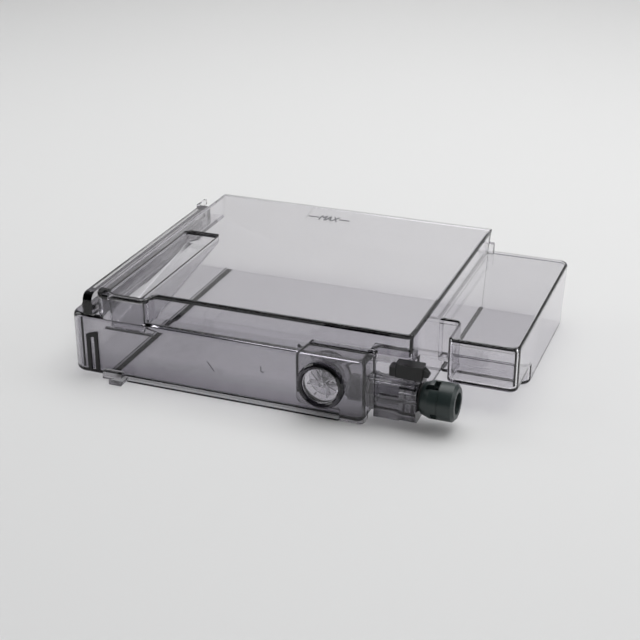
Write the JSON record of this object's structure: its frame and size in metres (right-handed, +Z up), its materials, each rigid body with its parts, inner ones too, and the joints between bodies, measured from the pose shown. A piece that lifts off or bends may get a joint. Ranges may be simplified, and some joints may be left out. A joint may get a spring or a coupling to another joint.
{
  "type": "dehumidifier water tank",
  "caption": "Transparent smoke-grey water tank of a dehumidifier, lying flat, with side compartment, finger recess, sight glass and docking cap.",
  "frame": {"origin": "centre of the bottom of the tank's bounding box, on the surface that it lies on", "axes": "+X along the front edge towards the side compartment and docking cap, +Y from the front to the rear, +Z up"},
  "size_m": [0.3134, 0.234, 0.0646],
  "materials": {
    "smoke_clear": "polished transparent smoke-grey",
    "smoke_dark": "polished transparent dark smoke",
    "smoke_black": "polished, nearly opaque smoke",
    "lens_clear": "polished transparent",
    "cap_green_grey": "satin moulded",
    "black_plastic": "satin moulded",
    "mark_grey": "printed",
    "steel": "ground",
    "spring_steel": "drawn wire",
    "seal_rubber": "moulded"
  },
  "bodies": {
    "tank": {"main_shell": "smoke_clear", "top_cover": "smoke_clear", "grip_cup": "smoke_clear", "floor_baffle": "smoke_clear", "wing_shell": "smoke_clear", "wing_cover": "smoke_clear", "side_rail": "smoke_clear", "side_collar": "smoke_clear", "corner_clip": "black_plastic", "rear_catch": "smoke_clear", "rear_tab": "smoke_clear", "guide_ribs": "smoke_black", "bottom_rail": "smoke_clear", "hook_foot": "smoke_clear", "fill_mark": "mark_grey", "chamber_housing": "smoke_clear", "sight_chamber": "smoke_clear", "lens_ring": "smoke_black", "lens": "lens_clear", "lens_seal": "seal_rubber", "wheel_pin": "steel", "strainer": "lens_clear", "discharge_tube": "smoke_dark", "outlet_flange": "smoke_dark", "outlet_seal": "seal_rubber", "connector_body": "smoke_dark", "connector_collar": "smoke_dark", "valve_seal": "seal_rubber", "valve_spring": "spring_steel", "latch_block": "black_plastic", "latch_spring": "spring_steel"},
    "wheel_body": {"flow_wheel": "lens_clear"},
    "cap_body": {"docking_cap": "cap_green_grey"},
    "plunger_body": {"valve_plunger": "black_plastic"},
    "latch_body": {"latch_tongue": "black_plastic"}
  },
  "joints": [
    {"name": "wheel_spin", "type": "hinge", "parent": "tank", "child": "wheel_body", "pos_m": [0.036, -0.0997, 0.0242], "axis": [0, 1, 0], "continuous": true},
    {"name": "cap_twist", "type": "hinge", "parent": "tank", "child": "cap_body", "pos_m": [0.1133, -0.0922, 0.0198], "axis": [1, 0, 0], "range_deg": [0, 60]},
    {"name": "valve_push", "type": "slide", "parent": "tank", "child": "plunger_body", "axis": [-1, 0, 0], "range_m": [0, 0.005], "stiffness_N_per_m": 400, "deforming": ["valve_spring"]},
    {"name": "latch_push", "type": "slide", "parent": "tank", "child": "latch_body", "axis": [-1, 0, 0], "range_m": [0, 0.003], "stiffness_N_per_m": 500, "deforming": ["latch_spring"]}
  ]
}
